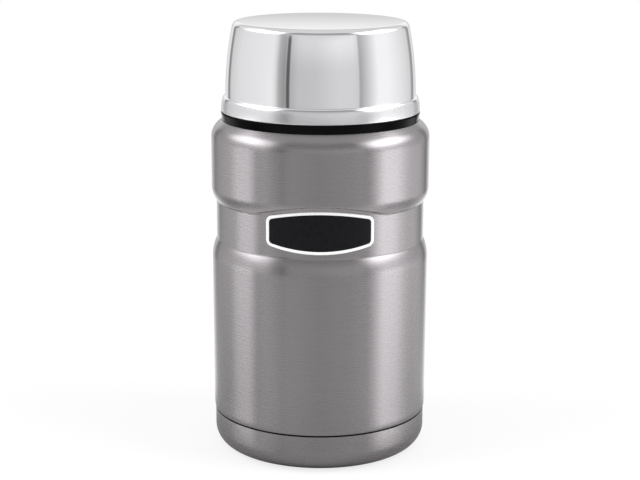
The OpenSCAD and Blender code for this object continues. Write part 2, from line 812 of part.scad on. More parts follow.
module bowl_thread_ring() {
    web_z = collar_thread_z + ridge_root_w/2 + thread_rise + 2*web_play;
    web_top_z = ledge_top_z - bowl_wall - press_fit;
    ledge_c = band_top_r - bowl_ledge_round;
    // two facets under the round of the ledge
    round = bowl_ledge_round - bowl_wall - press_fit;
    facet_a = 60;
    facet_drop = 0.2;
    color([0.07, 0.07, 0.07])
        union() {
            turned([
                [ring_in_r, ring_z],
                [ring_r, ring_z],
                [ring_r, ledge_z - facet_drop],
                [ledge_c + round*cos(facet_a), web_top_z - round*(1 - sin(facet_a))],
                [ledge_c, web_top_z],
                [sleeve_r, web_top_z],
                [sleeve_r, liner_z],
                [sleeve_in_r, liner_z],
                [sleeve_in_r, web_z],
                [ring_in_r, web_z]]);
            thread(ring_in_r, collar_thread_z, true, web_play);
        }
}

outer_shell();
inner_vessel();
shell_bottom();
seal_bead();
getter();
getter_clip();
radiation_foil();
base_cap();
bond_ring();
neck_collar();
collar_seal();
badge_border();
badge_field();
stopper_gasket();
stopper_plug();
stopper_cap();
stopper_foam();
vent_button();
vent_seal();
bowl_seal();
bowl_shell();
bowl_liner();
bowl_thread_ring();
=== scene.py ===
import json
import math

import bpy
from mathutils import Matrix, Vector


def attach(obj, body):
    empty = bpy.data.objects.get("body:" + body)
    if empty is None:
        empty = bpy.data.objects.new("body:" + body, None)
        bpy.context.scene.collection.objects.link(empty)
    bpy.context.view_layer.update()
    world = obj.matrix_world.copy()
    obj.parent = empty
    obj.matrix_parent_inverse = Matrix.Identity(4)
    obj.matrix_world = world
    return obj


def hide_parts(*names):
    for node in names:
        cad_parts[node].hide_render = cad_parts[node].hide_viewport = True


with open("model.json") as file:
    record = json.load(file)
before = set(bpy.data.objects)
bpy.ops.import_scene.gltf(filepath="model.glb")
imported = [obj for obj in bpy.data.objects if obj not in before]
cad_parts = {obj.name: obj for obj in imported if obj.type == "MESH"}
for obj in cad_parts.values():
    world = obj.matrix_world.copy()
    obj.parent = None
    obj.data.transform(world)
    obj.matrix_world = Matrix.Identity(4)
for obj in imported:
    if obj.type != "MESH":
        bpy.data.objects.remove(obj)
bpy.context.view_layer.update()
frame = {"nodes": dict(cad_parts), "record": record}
nodes = frame["nodes"]
MM = 0.001


# ---------------------------------------------------------------- helpers

def put(name, data):
    """Adds an object with this data to the scene."""
    thing = bpy.data.objects.new(name, data)
    bpy.context.scene.collection.objects.link(thing)
    return thing


class Wiring:
    """Short calls that build one node tree."""

    def __init__(self, owner):
        owner.use_nodes = True
        self.tree = owner.node_tree

    def add(self, kind, **settings):
        node = self.tree.nodes.new(kind)
        for name, value in settings.items():
            setattr(node, name, value)
        return node

    def join(self, source, target):
        self.tree.links.new(source, target)

    def feed(self, value, target):
        """Joins the target to value where that is a socket, and otherwise sets it to value."""
        if isinstance(value, bpy.types.NodeSocket):
            self.join(value, target)
        else:
            target.default_value = value

    def maths(self, operation, a, b=0.0):
        node = self.add("ShaderNodeMath", operation=operation)
        self.feed(a, node.inputs[0])
        self.feed(b, node.inputs[1])
        return node.outputs[0]

    def length(self, vector):
        node = self.add("ShaderNodeVectorMath", operation="LENGTH")
        self.join(vector, node.inputs[0])
        return node.outputs["Value"]

    def split(self, vector):
        """The vector's X, Y and Z."""
        node = self.add("ShaderNodeSeparateXYZ")
        self.join(vector, node.inputs[0])
        return tuple(node.outputs)

    def remap(self, value, start, end, low=0.0, high=1.0, kind="LINEAR"):
        """Goes evenly from low to high as value goes from start to end, and stays there."""
        node = self.add("ShaderNodeMapRange", interpolation_type=kind)
        self.join(value, node.inputs["Value"])
        for socket, number in (("From Min", start), ("From Max", end),
                               ("To Min", low), ("To Max", high)):
            node.inputs[socket].default_value = number
        return node.outputs["Result"]

    def rise(self, value, start, end, low=0.0, high=1.0):
        """As remap does, but with soft ends."""
        return self.remap(value, start, end, low, high, "SMOOTHSTEP")

    def blend(self, factor, a, b, kind="FLOAT"):
        """a where factor is 0 and b where it is 1."""
        node = self.add("ShaderNodeMix", data_type=kind)
        for socket, value in (("Factor", factor), ("A", a), ("B", b)):
            self.feed(value, node.inputs[socket])
        return node.outputs["Result"]


class Shader(Wiring):
    """A material that is built node by node round one Principled BSDF."""

    def __init__(self, name, colour, roughness, metallic=0.0, **sockets):
        self.material = bpy.data.materials.new(name)
        super().__init__(self.material)
        self.bsdf = self.tree.nodes["Principled BSDF"]
        self.colour = colour
        self.bsdf.inputs["Base Color"].default_value = (*colour, 1)
        self.bsdf.inputs["Roughness"].default_value = roughness
        self.bsdf.inputs["Metallic"].default_value = metallic
        for socket, value in sockets.items():
            self.bsdf.inputs[socket.replace("_", " ")].default_value = value

    def drive(self, socket, value):
        self.join(value, self.bsdf.inputs[socket])

    def place(self, scale):
        """The point on the object, in metres, times scale, which is one number or three."""
        mapping = self.add("ShaderNodeMapping")
        mapping.inputs["Scale"].default_value = scale if isinstance(scale, tuple) else [scale] * 3
        self.join(self.add("ShaderNodeTexCoord").outputs["Object"], mapping.inputs["Vector"])
        return mapping.outputs["Vector"]

    def noise(self, scale, detail, rough, distortion=0.0):
        """Noise from 0 to 1 with a grain of 1/scale metres along X, Y and Z."""
        node = self.add("ShaderNodeTexNoise")
        for socket, value in (("Scale", 1.0), ("Detail", detail), ("Roughness", rough),
                              ("Distortion", distortion)):
            node.inputs[socket].default_value = value
        self.join(self.place(scale), node.inputs["Vector"])
        return node.outputs["Fac"]

    def shares(self, a, share_a, b, share_b):
        """Two noises as one, each with its share."""
        return self.maths("ADD", self.maths("MULTIPLY", a, share_a),
                          self.maths("MULTIPLY", b, share_b))

    def vary_colour(self, value, darker, lighter, low=0.35, high=0.65):
        """From darker times the colour to lighter times it, as value goes from low to high."""
        ramp = self.add("ShaderNodeValToRGB")
        ends = ramp.color_ramp.elements
        ends[0].position, ends[1].position = low, high
        for end, times in zip(ends, (darker, lighter)):
            end.color = (*[min(1, c * times) for c in self.colour], 1)
        self.join(value, ramp.inputs["Fac"])
        self.drive("Base Color", ramp.outputs["Color"])
        return ramp.outputs["Color"]

    def vary_roughness(self, value, least, most, low=0.35, high=0.65):
        self.drive("Roughness", self.remap(value, low, high, least, most))

    def bump(self, value, height, strength):
        """Relief of that height in millimetres."""
        node = self.add("ShaderNodeBump")
        node.inputs["Strength"].default_value = strength
        node.inputs["Distance"].default_value = height * MM
        self.join(value, node.inputs["Height"])
        self.drive("Normal", node.outputs["Normal"])

    def turned(self, anisotropy):
        """Gloss that is drawn out along the jar's axis, as brushing round it does."""
        tangent = self.add("ShaderNodeTangent", direction_type="RADIAL", axis="Z")
        self.bsdf.inputs["Anisotropic"].default_value = anisotropy
        self.bsdf.inputs["Anisotropic Rotation"].default_value = 0.25
        self.drive("Tangent", tangent.outputs["Tangent"])


# ---------------------------------------------------------------- materials

# The painted shade in the open seam over the base cap, in millimetres: the height of its middle,
# how far from there it is fully dark and where that has faded out, and the radii between which the
# painted shade fades outwards.
SEAM_Z, SEAM_DARK_TO, SEAM_FADED = 17.72, 0.36, 0.46
SEAM_R_DARK_TO, SEAM_R_FADED = 49.3, 49.4
# the colour of the painted shade inside the seam
SEAM_PAINTED_SHADE = (0.012, 0.012, 0.012, 1)

# The heights, in millimetres, between which the bowl's satin band turns into its mirror finish.
BAND_TO, MIRROR_FROM = 163.2, 164.0


def brushed_steel():
    s = Shader("brushed_steel", (0.352, 0.333, 0.345), 0.27, 1.0)
    s.turned(0.82)
    hairs = s.noise((80, 80, 6500), 2, 0.5)
    lines = s.noise((110, 110, 2600), 2, 0.5)
    cloud = s.noise((30, 30, 24), 2, 0.5)
    brushing = s.shares(hairs, 0.45, lines, 0.55)
    steel = s.vary_colour(s.shares(brushing, 0.85, cloud, 0.15), 0.95, 1.05, 0.25, 0.75)
    # painted shade: the open seam is painted dark inside, where shade falls in the gap
    height = s.split(s.place(1))[2]
    off_seam = s.maths("ABSOLUTE", s.maths("SUBTRACT", height, SEAM_Z * MM))
    beside = s.remap(off_seam, SEAM_DARK_TO * MM, SEAM_FADED * MM)
    outside = s.remap(s.length(s.place((1, 1, 0))), SEAM_R_DARK_TO * MM, SEAM_R_FADED * MM)
    off_painted_shade = s.maths("MAXIMUM", outside, beside)
    s.drive("Base Color", s.blend(off_painted_shade, SEAM_PAINTED_SHADE, steel, "RGBA"))
    s.vary_roughness(brushing, 0.26, 0.285)
    return s


def polished_steel():
    s = Shader("polished_steel", (0.903, 0.892, 0.912), 0.04, 1.0)
    wave = s.noise((60, 60, 30), 2, 0.4)
    hair = s.noise((160, 160, 5200), 3, 0.6)
    smear = s.noise((45, 45, 70), 4, 0.55, 0.4)
    colour = s.vary_colour(wave, 0.985, 1.01)
    fine = s.remap(s.shares(smear, 0.7, hair, 0.3), 0.35, 0.65, 0.025, 0.05)
    # the band under the ledge is buffed less than the rest, so it is a little duller
    height = s.split(s.place(1))[2]
    rougher = s.remap(height, BAND_TO * MM, MIRROR_FROM * MM, 0.21, 0.0)
    darker = s.remap(height, BAND_TO * MM, MIRROR_FROM * MM, 0.88, 1.0)
    s.drive("Roughness", s.maths("ADD", fine, rougher))
    duller = s.add("ShaderNodeVectorMath", operation="SCALE")
    s.join(colour, duller.inputs[0])
    s.join(darker, duller.inputs["Scale"])
    s.drive("Base Color", duller.outputs[0])
    s.bump(wave, 0.01, 0.3)
    return s


def satin_steel():
    s = Shader("satin_steel", (0.66, 0.655, 0.645), 0.28, 1.0)
    s.turned(0.5)
    lines = s.noise((60, 60, 1900), 4, 0.6)
    cloud = s.noise(40, 3, 0.5)
    s.vary_colour(s.shares(lines, 0.6, cloud, 0.4), 0.9, 1.08)
    s.vary_roughness(lines, 0.22, 0.36)
    s.bump(lines, 0.004, 0.5)
    return s


def black_plastic():
    s = Shader("black_plastic", (0.0012, 0.0012, 0.0014), 0.12, IOR=1.45, Specular_IOR_Level=0.1)
    flow = s.noise((90, 90, 60), 3, 0.5)
    fine = s.noise(1500, 2, 0.5)
    s.vary_colour(flow, 0.8, 1.3)
    s.vary_roughness(s.shares(flow, 0.6, fine, 0.4), 0.08, 0.16)
    s.bump(fine, 0.004, 0.4)
    return s


def dark_plastic():
    s = Shader("dark_plastic", (0.045, 0.045, 0.05), 0.45, IOR=1.5)
    spark = s.noise(2200, 4, 0.65)
    cloud = s.noise(60, 2, 0.5)
    s.vary_colour(s.shares(spark, 0.5, cloud, 0.5), 0.8, 1.25)
    s.vary_roughness(cloud, 0.38, 0.52)
    s.bump(spark, 0.02, 0.6)
    return s


def grey_plastic():
    s = Shader("grey_plastic", (0.36, 0.37, 0.385), 0.42, IOR=1.5)
    spark = s.noise(2400, 4, 0.65)
    cloud = s.noise(120, 2, 0.5)
    s.vary_colour(s.shares(spark, 0.4, cloud, 0.6), 0.92, 1.08)
    s.vary_roughness(cloud, 0.36, 0.5)
    s.bump(spark, 0.015, 0.6)
    return s


def silicone():
    s = Shader("silicone", (0.70, 0.70, 0.68), 0.5, IOR=1.41, Subsurface_Weight=0.25,
               Subsurface_Scale=0.002)
    cloud = s.noise(140, 3, 0.5)
    dust = s.noise(1800, 3, 0.6)
    s.vary_colour(cloud, 0.94, 1.05)
    s.vary_roughness(dust, 0.42, 0.6)
    s.bump(dust, 0.01, 0.5)
    return s


def foam():
    s = Shader("foam", (0.86, 0.83, 0.74), 0.9)
    node = s.add("ShaderNodeTexVoronoi")
    node.inputs["Scale"].default_value = 1.0
    s.join(s.place(1300), node.inputs["Vector"])
    cells = node.outputs["Distance"]
    s.vary_colour(cells, 0.82, 1.06, 0.1, 0.7)
    s.vary_roughness(cells, 0.8, 0.95, 0.1, 0.7)
    s.bump(cells, 0.15, 0.8)
    return s


def one_noise(shader, noise, colours, roughness, relief=None):
    """Colour, roughness and relief that all follow one noise. What follows the shader is what
    noise(), vary_colour(), vary_roughness() and bump() take."""
    value = shader.noise(*noise)
    shader.vary_colour(value, *colours)
    shader.vary_roughness(value, *roughness)
    if relief:
        shader.bump(value, *relief)
    return shader


def copper_foil():
    return one_noise(Shader("copper_foil", (0.80, 0.46, 0.29), 0.22, 1.0),
                     (160, 5, 0.6, 0.6), (0.85, 1.1), (0.16, 0.32), (0.12, 0.7))


def sealing_glass():
    return one_noise(Shader("sealing_glass", (0.30, 0.33, 0.37), 0.06, IOR=1.55,
                            Coat_Weight=0.4, Coat_Roughness=0.03),
                     (420, 3, 0.5, 0.8), (0.8, 1.15), (0.04, 0.1))


def getter_metal():
    return one_noise(Shader("getter_metal", (0.28, 0.28, 0.30), 0.6, 0.8),
                     (2600, 3, 0.6), (0.7, 1.25), (0.5, 0.75), (0.03, 0.8))


def badge_white():
    return one_noise(Shader("badge_white", (0.93, 0.93, 0.93), 0.32),
                     (900, 3, 0.55), (0.975, 1.02), (0.24, 0.36), (0.008, 0.4))


def badge_black():
    return one_noise(Shader("badge_black", (0.006, 0.006, 0.008), 0.34, IOR=1.45,
                            Specular_IOR_Level=0.17),
                     (900, 3, 0.5), (0.8, 1.25), (0.28, 0.42), (0.003, 0.3))


def black_silicone():
    return one_noise(Shader("black_silicone", (0.022, 0.022, 0.023), 0.55, IOR=1.41),
                     (1600, 4, 0.6), (0.8, 1.4), (0.46, 0.66), (0.012, 0.6))


made = {f.__name__: f().material for f in (
    brushed_steel, polished_steel, satin_steel, copper_foil, sealing_glass, getter_metal,
    black_plastic, dark_plastic, grey_plastic, badge_white, badge_black, silicone,
    black_silicone, foam)}


def dress(piece, slot):
    piece.data.materials.clear()
    piece.data.materials.append(made[slot])


for part in frame["record"]["subparts"]:
    dress(nodes[part["node"]], part["material_slot"])


# ---------------------------------------------------------------- shapes
# Sizes in this part are millimetres, as in the jar's source, and angles are degrees.

WAIST_R, WAIST_TOP = 47.8, 117.285
WALL_TOP = 90.5
BULGE_R, BULGE_TOP = 50.0, 146.016
BADGE_Z, BADGE_HALF_W, BADGE_HALF_H = 110.885, 23.7, 9.6
BADGE_ARCH_R, BADGE_CORNER, LEAST_CORNER = 86.0, 3.0, 0.3

# The notch over the badge: how far its arch stays off the badge, the heights between which it can
# be, how far under the arch it starts to rise to the bulge and over what height it does.
NOTCH_MARGIN = 1.6
NOTCH_FROM, NOTCH_TO = 112, 130
NOTCH_START, NOTCH_RISE = 0.35, 1.3

# Where a turned outline turns by less than this, it is shaded as one curve.
SOFT_TURN = 32
# A point nearer to the axis than this is on it.
ON_AXIS = 1e-6


def arc(centre, radius, start, end, steps):
    """Points [r, z] on an arc, from one angle to the other, both ends included."""
    found = []
    for i in range(steps + 1):
        a = math.radians(start + (end - start) * i / steps)
        found.append((centre[0] + radius * math.cos(a), centre[1] + radius * math.sin(a)))
    return found


def line(start, end, steps):
    """Points between two ends, both left out."""
    return [(start[0] + (end[0] - start[0]) * i / steps, start[1] + (end[1] - start[1]) * i / steps)
            for i in range(1, steps)]


def outline_normals(outline, closed):
    """For each stretch of the outline the normals at its two ends. Neighbours share the normal
    where the outline turns softly."""
    count = len(outline)
    runs = count if closed else count - 1
    tangents, lengths = [], []
    for i in range(runs):
        (r0, z0), (r1, z1) = outline[i], outline[(i + 1) % count]
        length = math.hypot(r1 - r0, z1 - z0)
        tangents.append(((r1 - r0) / length, (z1 - z0) / length))
        lengths.append(length)

    def shared(i, j):
        if not closed and not (0 <= i < runs and 0 <= j < runs):
            return None
        (a, b), (c, d) = tangents[i % runs], tangents[j % runs]
        if a * c + b * d < math.cos(math.radians(SOFT_TURN)):
            return None
        la, lb = lengths[i % runs], lengths[j % runs]
        t = (a * la + c * lb, b * la + d * lb)
        size = math.hypot(*t)
        return (t[1] / size, -t[0] / size)

    ends = []
    for i in range(runs):
        own = (tangents[i][1], -tangents[i][0])
        ends.append((shared(i - 1, i) or own, shared(i, i + 1) or own))
    return ends


def smooth_mesh(name, vertices, faces):
    mesh = bpy.data.meshes.new(name)
    mesh.from_pydata(vertices, [], faces)
    mesh.polygons.foreach_set("use_smooth", [True] * len(faces))
    return mesh


def turned_piece(name, outline, columns, closed=True):
    """A piece turned round the jar's axis from an outline of [r, z] that runs up the outer side
    first. Its shading normals come from the outline, so long plain stretches stay true."""
    angles = [2 * math.pi * (k + 0.5) / columns for k in range(columns + 1)]
    around = [(math.cos(a), math.sin(a)) for a in angles]
    vertices, rows = [], []
    for r, z in outline:
        first = len(vertices)
        if r < ON_AXIS:
            rows.append([first] * columns)
            vertices.append((0, 0, z * MM))
        else:
            rows.append([first + k for k in range(columns)])
            vertices += [(r * c * MM, r * s * MM, z * MM) for c, s in around[:columns]]
    faces, normals = [], []
    for i, (start, end) in enumerate(outline_normals(outline, closed)):
        lower, upper = rows[i], rows[(i + 1) % len(outline)]
        if lower[0] == lower[1] and upper[0] == upper[1]:
            continue
        for k in range(columns):
            m = (k + 1) % columns
            # a corner on the axis stands for two, and takes the normal of the first
            corners = {}
            for point, turn, (out, up) in ((lower[k], k, start), (lower[m], k + 1, start),
                                           (upper[m], k + 1, end), (upper[k], k, end)):
                c, s = around[turn]
                corners.setdefault(point, (out * c, out * s, up))
            faces.append(list(corners))
            normals += corners.values()
    mesh = smooth_mesh(name, vertices, faces)
    mesh.normals_split_custom_set(normals)
    return put(name, mesh)


def ring_piece(name, rings, ends, sharp):
    """A piece from rings of points, each joined to the next, and more faces that close its ends.
    It is smooth but for edges sharper than the given angle."""
    vertices = [(x * MM, y * MM, z * MM) for ring in rings for x, y, z in ring]
    count = len(rings[0])
    faces = []
    for row in range(len(rings) if not ends else len(rings) - 1):
        lower, upper = row * count, (row + 1) % len(rings) * count
        for k in range(count):
            m = (k + 1) % count
            faces.append([lower + k, lower + m, upper + m, upper + k])
    mesh = smooth_mesh(name, vertices, faces + ends)
    mesh.set_sharp_from_angle(angle=math.radians(sharp))
    return put(name, mesh)


def stand_for(piece, node, slot, body):
    dress(piece, slot)
    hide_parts(node)
    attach(piece, body)


def bowl_skin():
    """The polished bowl: folded hem, flared band, ledge, long side and slightly crowned top."""
    wall, hem = 0.5, 0.5
    lip_r, lip_z = 45.35, 157.932
    band_top, ledge_r, ledge_round = 163.632, 43.35, 1.3
    side_curve, top_z, top_round, crown = 158.0, 198.732, 3.0, 0.15
    fold_steps, band_steps, side_steps, rounding_steps, top_steps = 10, 44, 24, 18, 16

    foot_z, hem_z = lip_z + hem, lip_z + 2 * hem
    side_x, side_z = ledge_r - side_curve, band_top + ledge_round
    edge_z = top_z - crown - top_round
    edge_r = side_x + math.sqrt((side_curve - top_round) ** 2 - (edge_z - side_z) ** 2)
    edge_a = math.degrees(math.atan2(edge_z - side_z, edge_r - side_x))
    rim_a = 90 - math.degrees(math.atan2(2 * crown, edge_r))

    # tilt of the band's surface by the way up along it: nearly upright, then over into the ledge
    tilts = [(0.0, 2), (1.2, 3), (2.4, 5), (3.6, 8), (4.8, 13), (5.6, 26), (6.6, 89)]
    belly = [(0.0, 0.0)]
    for i in range(band_steps):
        at = (i + 0.5) / band_steps * tilts[-1][0]
        (s0, t0), (s1, t1) = next(p for p in zip(tilts, tilts[1:]) if p[0][0] <= at <= p[1][0])
        tilt = math.radians(t0 + (t1 - t0) * (at - s0) / (s1 - s0))
        belly.append((belly[-1][0] + math.sin(tilt), belly[-1][1] + math.cos(tilt)))
    reach_r, reach_z = belly[-1]

    def skin(inset):
        band = [(lip_r - inset - (lip_r - ledge_r) * r / reach_r,
                 foot_z + (side_z - inset - foot_z) * z / reach_z) for r, z in belly]
        side = arc((side_x, side_z), side_curve - inset, 0, edge_a, side_steps)
        rounding = arc((edge_r, edge_z), top_round - inset, edge_a, rim_a, rounding_steps)
        rim_r, rim_z = rounding[-1]
        shares = [1 - i / top_steps for i in range(1, top_steps + 1)]
        top = [(rim_r * t, rim_z + (top_z - inset - rim_z) * (1 - t ** 2)) for t in shares]
        return band + side[1:] + rounding[1:] + top

    fold = arc((lip_r - hem, foot_z), hem, -180, 0, fold_steps)
    back = [p for p in reversed(skin(wall)) if p[1] > hem_z + 0.1]
    hem_top = [(lip_r - wall, hem_z), (lip_r - 2 * hem, hem_z)]
    return turned_piece("bowl_skin", fold[:-1] + skin(0) + back + hem_top, 384)


def shell_outline():
    """Outer side of the jar's shell, from the seam up to the neck. Its rows are close where the
    badge's notch is."""
    foot = arc((48.98, 18.2), 0.25, -90, 0, 5)
    roll = arc((31.55, 21.0), 18.0, -11.0, 0, 10)
    wall = line(roll[-1], (49.85, WALL_TOP), 40)
    low = arc((30.85, WALL_TOP), 19.0, 0, 26.87, 16)
    waist = line(low[-1], (WAIST_R, WAIST_TOP), 34)
    fold = arc((39.5, 123.716), 10.5, -37.77, 0, 30)
    bulge = line(fold[-1], (BULGE_R, BULGE_TOP), 16)
    shoulder = arc((41.7, BULGE_TOP), 8.3, 0, 46, 14)
    brow = [(46.3, 153.05), (45.35, 153.87), (45.2, 153.98), (45.12, 154.0)]
    above_foot = [p for p in roll if p[1] > 18.4]
    return foot + above_foot + wall + low + waist + fold + bulge + shoulder + brow


def jar_skin():
    """The jar's brushed shell. Over the badge the bulge is pressed in along an arch."""
    outline = shell_outline()
    inside = [
        # over the shoulder's edge and in to the neck
        (45.06, 153.98), (45.05, 153.68), (44.9, 153.632), (40.6, 153.632), (39.8, 153.9),
        # up the neck and down inside it
        (39.8, 165.432), (39.3, 165.432), (39.3, 153.1),
        # down the inner side
        (45.6, 152.6), (49.4, 146.0), (49.4, 124.0), (47.3, 117.0), (47.3, 99.3), (49.3, 90.0),
        (49.0, 21.0), (48.6, 18.5),
        # the sleeve inside the base cap
        (47.99, 18.4), (47.99, 8.0), (48.49, 8.0), (48.49, 17.95)]

    # the columns are close in front, where the notch is, and wider round the rest
    fine, fine_each_side, coarse_steps = math.radians(0.42), 84, 150
    front = [-math.pi / 2 + fine * k for k in range(-fine_each_side, fine_each_side + 1)]
    gap = 2 * math.pi - (front[-1] - front[0])
    angles = front + [front[-1] + gap * k / coarse_steps for k in range(1, coarse_steps)]

    arch_r = BADGE_ARCH_R + NOTCH_MARGIN
    arch_z = BADGE_Z + BADGE_HALF_H - BADGE_ARCH_R

    def pressed(r, z, a):
        if not (NOTCH_FROM < z < NOTCH_TO and r > WAIST_R and math.sin(a) < 0):
            return r
        x = r * math.cos(a)
        over = z - (arch_z + math.sqrt(arch_r ** 2 - x * x))
        t = min(1, max(0, (over + NOTCH_START) / NOTCH_RISE))
        return WAIST_R + (r - WAIST_R) * t * t * (3 - 2 * t)

    rings = []
    for i, (r, z) in enumerate(outline + inside):
        radii = [pressed(r, z, a) if i < len(outline) else r for a in angles]
        rings.append([(p * math.cos(a), p * math.sin(a), z) for p, a in zip(radii, angles)])
    return ring_piece("jar_skin", rings, [], 40)


def base_skin():
    """The base cap: a soft top edge at the seam, a deep round and a foot that is pressed up in
    the middle."""
    round_centre, round_r, wall = (40.1, 9.0), 9.0, 0.5
    outer = ([(0, 1.2), (16, 1.2), (33.2, 1.2)]
             + arc((33.4, 1.7), 0.5, -80, -45, 4) + arc((35.6, 0.5), 0.5, -135, -90, 4)
             + [(38.0, 0.0)] + arc(round_centre, round_r, -90, 0, 30)
             + [(49.1, 12.0), (49.1, 15.0), (49.1, 17.0)] + arc((48.85, 17.25), 0.25, 0, 90, 5))
    inner = ([(48.6, 17.5), (48.6, 9.0)] + arc(round_centre, round_r - wall, -8, -90, 10)
             + [(35.8, 0.5), (33.9, 1.7), (0, 1.7)])
    return turned_piece("base_skin", outer + inner, 320, closed=False)


def badge_line(inset):
    """The badge's outline [x, z] about its middle: straight ends, arched edges and rounded
    corners."""
    corner = max(BADGE_CORNER - inset, LEAST_CORNER)
    half_w = BADGE_HALF_W - inset
    arch_r, arch_z = BADGE_ARCH_R - inset, BADGE_HALF_H - BADGE_ARCH_R
    corner_x = half_w - corner
    corner_z = arch_z + math.sqrt((arch_r - corner) ** 2 - corner_x ** 2)
    corner_a = math.degrees(math.atan2(corner_z - arch_z, corner_x))
    quarter = (line((half_w, 0), (half_w, corner_z), 6)
               + arc((corner_x, corner_z), corner, 0, corner_a, 10)
               + arc((0, arch_z), arch_r, corner_a, 90, 24)[1:])
    upper = [(half_w, 0)] + quarter + [(-x, z) for x, z in reversed(quarter[:-1])]
    return upper + [(-half_w, 0)] + [(x, -z) for x, z in reversed(upper[1:])]


def badge_piece(name, insets, filled):
    """Rings of the badge's outline, as (inset, height off the waist), joined into a piece. It is
    filled to its middle or a closed rim."""
    fill_steps, narrower, flatter = 12, 0.25, 0.999
    loops = [(badge_line(inset), height) for inset, height in insets]
    if filled:
        last, height = loops[-1]
        for step in range(1, fill_steps + 1):
            t = step / fill_steps
            wide, tall = 1 - narrower * t, 1 - flatter * t
            loops.append(([(x * wide, z * tall) for x, z in last], height))
    rings = []
    for loop, height in loops:
        r = WAIST_R + height
        rings.append([(x, -math.sqrt(r * r - x * x), BADGE_Z + z) for x, z in loop])
    behind = [list(reversed(range(len(rings[0]))))] if filled else []
    return ring_piece(name, rings, behind, 50)


stand_for(bowl_skin(), "bowl_shell", "polished_steel", "bowl")
stand_for(jar_skin(), "outer_shell", "brushed_steel", "jar")
stand_for(base_skin(), "base_cap", "brushed_steel", "jar")

rim = badge_piece("badge_rim", [
    (0.0, 0.05), (0.0, 0.5), (0.05, 0.61), (0.17, 0.68), (0.32, 0.7), (0.98, 0.7), (1.13, 0.68),
    (1.25, 0.61), (1.3, 0.5), (1.3, 0.05)], filled=False)
stand_for(rim, "badge_border", "badge_white", "jar")

plate = badge_piece("badge_plate", [(1.35, 0.05), (1.35, 0.42), (1.4, 0.47), (1.5, 0.5)],
                    filled=True)
stand_for(plate, "badge_field", "badge_black", "jar")


# ---------------------------------------------------------------- stage
# Distances in this part are metres. Azimuth 0 is over the camera and 90 is to the right.

FLOOR_R, FLOOR_SIDES = 0.5, 96
FLOOR_GREY, FLOOR_GREY_IN_METAL = (0.9, 0.9, 0.9, 1), (0.42, 0.42, 0.42, 1)

# The distances from the axis between which the floor fades. The camera sees it fade into the
# backdrop's white, of which it has a share everywhere, and metal sees it fade into the room.
FADE_FROM, FADE_TO, LEAST_WHITE = 0.08, 0.34, 0.78
METAL_FADE_FROM, METAL_FADE_TO = 0.06, 0.12

# Brightness of the world: for paint, plastic and the floor, and for metal far below and overhead.
PLAIN, GROUND, CEILING = 0.70, 1.0, 0.72

# Brightness that a colour ramp's 1 stands for.
RAMP_TOP = 6

# Elevations, in degrees, between which each zone of the room gives way to the next one up.
GROUND_TO_LOW, LOW_TO_LOWER, LOWER_TO_LEVEL = (-46, -28), (-19, -12), (-10.5, -8)

# The lamps: how high they stand, in degrees, how far from the middle of the jar, and their size.
LAMP_UP, LAMP_AWAY, LAMP_SIZE = 40, 1.3, (0.7, 1.0)
JAR_MIDDLE = Vector((0, 0, 0.1))


class Stage(Wiring):
    """The node tree of the floor or the world. to_camera is 1 for what the camera sees straight
    away, and mirrored is 1 for what metal, gloss or glass shows."""

    def __init__(self, owner):
        super().__init__(owner)
        self.tree.nodes.clear()
        ray = self.add("ShaderNodeLightPath")
        self.to_camera = ray.outputs["Is Camera Ray"]
        self.mirrored = self.maths("MAXIMUM", ray.outputs["Is Glossy Ray"],
                                   ray.outputs["Is Transmission Ray"])

    def mix(self, factor, a, b):
        node = self.add("ShaderNodeMixShader")
        self.join(factor, node.inputs["Fac"])
        self.join(a, node.inputs[1])
        self.join(b, node.inputs[2])
        return node.outputs[0]

    def finish(self, kind, surface):
        self.join(surface, self.add(kind).inputs["Surface"])

    def round_the_room(self, turn, stops):
        """Brightness by azimuth, from (degrees, brightness) stops between -180 and 180."""
        node = self.add("ShaderNodeValToRGB")
        ends = node.color_ramp.elements
        for _ in stops[2:]:
            ends.new(0.5)
        for end, (degrees, _) in zip(ends, stops):
            end.position = degrees / 360 + 0.5
        for end, (_, grey) in zip(ends, stops):
            end.color = (*[grey / RAMP_TOP] * 3, 1)
        self.join(turn, node.inputs["Fac"])
        return self.maths("MULTIPLY", node.outputs["Color"], RAMP_TOP)


def studio_floor():
    angles = [2 * math.pi * i / FLOOR_SIDES for i in range(FLOOR_SIDES)]
    ring = [(FLOOR_R * math.cos(a), FLOOR_R * math.sin(a), 0.0) for a in angles]
    mesh = bpy.data.meshes.new("studio_floor")
    mesh.from_pydata(ring, [], [list(range(FLOOR_SIDES))])
    floor = put("studio_floor", mesh)
    material = bpy.data.materials.new("studio_floor")
    w = Stage(material)
    away = w.length(w.add("ShaderNodeNewGeometry").outputs["Position"])
    # metal sees the ground at the foot dimmer than it is, as in a room with a dark ceiling
    plain = w.add("ShaderNodeBsdfDiffuse")
    w.join(w.blend(w.mirrored, FLOOR_GREY, FLOOR_GREY_IN_METAL, "RGBA"), plain.inputs["Color"])
    white, clear = w.add("ShaderNodeEmission"), w.add("ShaderNodeBsdfTransparent")
    fade = w.rise(away, FADE_FROM, FADE_TO, LEAST_WHITE, 1.0)
    gone = w.rise(away, METAL_FADE_FROM, METAL_FADE_TO)
    seen = w.mix(w.maths("MULTIPLY", fade, w.to_camera), plain.outputs[0], white.outputs[0])
    seen = w.mix(w.maths("MULTIPLY", gone, w.mirrored), seen, clear.outputs[0])
    w.finish("ShaderNodeOutputMaterial", seen)
    mesh.materials.append(material)


